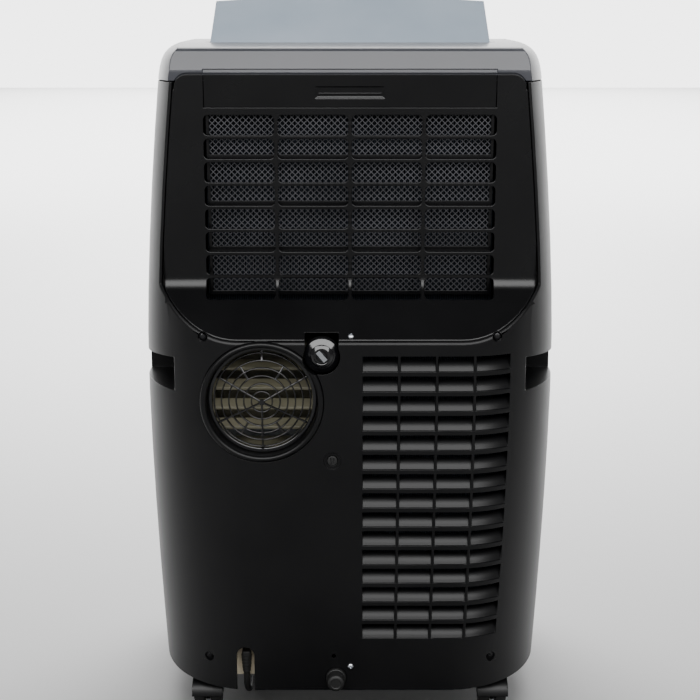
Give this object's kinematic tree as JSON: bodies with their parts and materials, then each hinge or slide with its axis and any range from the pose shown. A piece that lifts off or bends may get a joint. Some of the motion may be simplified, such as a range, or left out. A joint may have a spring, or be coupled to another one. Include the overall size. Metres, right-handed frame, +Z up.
{
  "type": "portable air conditioner",
  "caption": "Upright room cooler on swivel casters, seen from its back: louvred cabinet, slide-out filter, round exhaust port and opening top flap.",
  "frame": {"origin": "on the floor under the middle of the cabinet, its drain cap included", "axes": "+Z up, +X to the right when facing the back, -Y out of the back, +Y out of the front"},
  "size_m": [0.46, 0.5174, 0.7907],
  "materials": {
    "black_cover": "satin black moulded cabinet plastic",
    "black_panel": "semi-gloss black plastic",
    "top_plastic": "smooth glossy black plastic that mirrors the sky",
    "flap_plastic": "smooth blue-grey plastic",
    "cream_plastic": "cream unpainted plastic",
    "black_rubber": "matt black rubber or soft PVC",
    "zinc": "bright zinc-plated steel",
    "fin_aluminium": "stacked fins",
    "dark_mesh": "dark grey nylon mesh",
    "steel_black": "black paint",
    "copper": "bare copper tube",
    "grey_plastic": "grey moulded plastic",
    "display": "smoked glossy window"
  },
  "bodies": {
    "cabinet": {"base_pan": "steel_black", "centre_screw_lower": "zinc", "centre_screw_upper": "zinc", "compressor": "steel_black", "compressor_mount_1": "black_rubber", "compressor_mount_2": "black_rubber", "compressor_mount_3": "black_rubber", "condenser_blower_housing": "grey_plastic", "condenser_coil": "fin_aluminium", "condenser_fan_motor": "steel_black", "control_box": "grey_plastic", "control_panel": "black_panel", "cord_coil": "black_rubber", "cord_tube": "black_rubber", "cover_screw_left": "steel_black", "cover_screw_right": "steel_black", "discharge_pipe": "copper", "display_lens": "display", "drain_bung": "black_rubber", "drip_tray": "grey_plastic", "evaporator_blower_housing": "grey_plastic", "evaporator_coil": "fin_aluminium", "evaporator_fan_motor": "steel_black", "exhaust_collar": "black_cover", "exhaust_duct": "cream_plastic", "exhaust_guard": "black_panel", "front_cover": "black_cover", "lower_drain_spout": "black_cover", "outlet_duct": "grey_plastic", "panel_screw_left": "steel_black", "panel_screw_right": "steel_black", "pocket_lining": "cream_plastic", "power_plug": "black_rubber", "rear_cover": "black_cover", "strain_relief": "black_rubber", "top_cover": "top_plastic", "upper_drain_spout": "black_cover", "upper_rear_panel": "black_panel"},
    "flap": {"louver_flap": "flap_plastic"},
    "filter": {"filter_frame": "black_panel", "filter_mesh": "dark_mesh"},
    "upper_cap": {"upper_drain_cap": "black_panel"},
    "lower_cap": {"lower_drain_cap": "black_rubber"},
    "evaporator_wheel": {"evaporator_blower_wheel": "grey_plastic"},
    "condenser_wheel": {"condenser_blower_wheel": "grey_plastic"},
    "vane_1": {"guide_vane_1": "grey_plastic"},
    "vane_2": {"guide_vane_2": "grey_plastic"},
    "vane_3": {"guide_vane_3": "grey_plastic"},
    "key_1_cap": {"key_1": "grey_plastic"},
    "key_2_cap": {"key_2": "grey_plastic"},
    "key_3_cap": {"key_3": "grey_plastic"},
    "key_4_cap": {"key_4": "grey_plastic"},
    "fork_rear_left": {"caster_fork_rear_left": "black_cover"},
    "wheels_rear_left": {"caster_wheels_rear_left": "black_rubber"},
    "fork_rear_right": {"caster_fork_rear_right": "black_cover"},
    "wheels_rear_right": {"caster_wheels_rear_right": "black_rubber"},
    "fork_front_left": {"caster_fork_front_left": "black_cover"},
    "wheels_front_left": {"caster_wheels_front_left": "black_rubber"},
    "fork_front_right": {"caster_fork_front_right": "black_cover"},
    "wheels_front_right": {"caster_wheels_front_right": "black_rubber"}
  },
  "joints": [
    {"name": "flap_hinge", "type": "hinge", "parent": "cabinet", "child": "flap", "pos_m": [0, -0.0645, 0.7394], "axis": [1, 0, 0], "range_deg": [-36, 24]},
    {"name": "vane_swing", "type": "hinge", "parent": "cabinet", "child": "vane_1", "pos_m": [-0.073, -0.022, 0.712], "axis": [0, 1, 0], "range_deg": [-30, 30]},
    {"name": "vane_swing_2", "type": "hinge", "parent": "cabinet", "child": "vane_2", "pos_m": [0, -0.022, 0.712], "axis": [0, 1, 0], "range_deg": [-30, 30]},
    {"name": "vane_swing_3", "type": "hinge", "parent": "cabinet", "child": "vane_3", "pos_m": [0.073, -0.022, 0.712], "axis": [0, 1, 0], "range_deg": [-30, 30]},
    {"name": "filter_slide", "type": "slide", "parent": "cabinet", "child": "filter", "axis": [0, -0.0698, 0.9976], "range_m": [0, 0.24]},
    {"name": "upper_cap_turn", "type": "hinge", "parent": "cabinet", "child": "upper_cap", "pos_m": [-0.03, -0.1845, 0.418], "axis": [0, 1, 0], "range_deg": [0, 90]},
    {"name": "lower_cap_turn", "type": "hinge", "parent": "cabinet", "child": "lower_cap", "pos_m": [-0.0156, -0.1845, 0.052], "axis": [0, 1, 0], "range_deg": [0, 360]},
    {"name": "evaporator_wheel_spin", "type": "hinge", "parent": "cabinet", "child": "evaporator_wheel", "pos_m": [0, -0.0305, 0.565], "axis": [0, 1, 0], "continuous": true},
    {"name": "condenser_wheel_spin", "type": "hinge", "parent": "cabinet", "child": "condenser_wheel", "pos_m": [-0.042, -0.0815, 0.21], "axis": [0, 1, 0], "continuous": true},
    {"name": "swivel_rear_left", "type": "hinge", "parent": "cabinet", "child": "fork_rear_left", "pos_m": [-0.162, -0.1345, 0.03], "axis": [0, 0, 1], "continuous": true},
    {"name": "roll_rear_left", "type": "hinge", "parent": "fork_rear_left", "child": "wheels_rear_left", "pos_m": [-0.162, -0.1425, 0.015], "axis": [1, 0, 0], "continuous": true},
    {"name": "swivel_rear_right", "type": "hinge", "parent": "cabinet", "child": "fork_rear_right", "pos_m": [0.162, -0.1345, 0.03], "axis": [0, 0, 1], "continuous": true},
    {"name": "roll_rear_right", "type": "hinge", "parent": "fork_rear_right", "child": "wheels_rear_right", "pos_m": [0.162, -0.1425, 0.015], "axis": [1, 0, 0], "continuous": true},
    {"name": "swivel_front_left", "type": "hinge", "parent": "cabinet", "child": "fork_front_left", "pos_m": [-0.162, 0.1447, 0.03], "axis": [0, 0, 1], "continuous": true},
    {"name": "roll_front_left", "type": "hinge", "parent": "fork_front_left", "child": "wheels_front_left", "pos_m": [-0.162, 0.1367, 0.015], "axis": [1, 0, 0], "continuous": true},
    {"name": "swivel_front_right", "type": "hinge", "parent": "cabinet", "child": "fork_front_right", "pos_m": [0.162, 0.1447, 0.03], "axis": [0, 0, 1], "continuous": true},
    {"name": "roll_front_right", "type": "hinge", "parent": "fork_front_right", "child": "wheels_front_right", "pos_m": [0.162, 0.1367, 0.015], "axis": [1, 0, 0], "continuous": true},
    {"name": "key_press_1", "type": "slide", "parent": "cabinet", "child": "key_1_cap", "axis": [0, -0.0499, -0.9988], "range_m": [0, 0.001], "stiffness_N_per_m": 400},
    {"name": "key_press_2", "type": "slide", "parent": "cabinet", "child": "key_2_cap", "axis": [0, -0.0499, -0.9988], "range_m": [0, 0.001], "stiffness_N_per_m": 400},
    {"name": "key_press_3", "type": "slide", "parent": "cabinet", "child": "key_3_cap", "axis": [0, -0.0499, -0.9988], "range_m": [0, 0.001], "stiffness_N_per_m": 400},
    {"name": "key_press_4", "type": "slide", "parent": "cabinet", "child": "key_4_cap", "axis": [0, -0.0499, -0.9988], "range_m": [0, 0.001], "stiffness_N_per_m": 400}
  ],
  "couplings": [
    {"joint": "vane_swing_2", "follows": "vane_swing", "ratio": 1},
    {"joint": "vane_swing_3", "follows": "vane_swing", "ratio": 1}
  ]
}
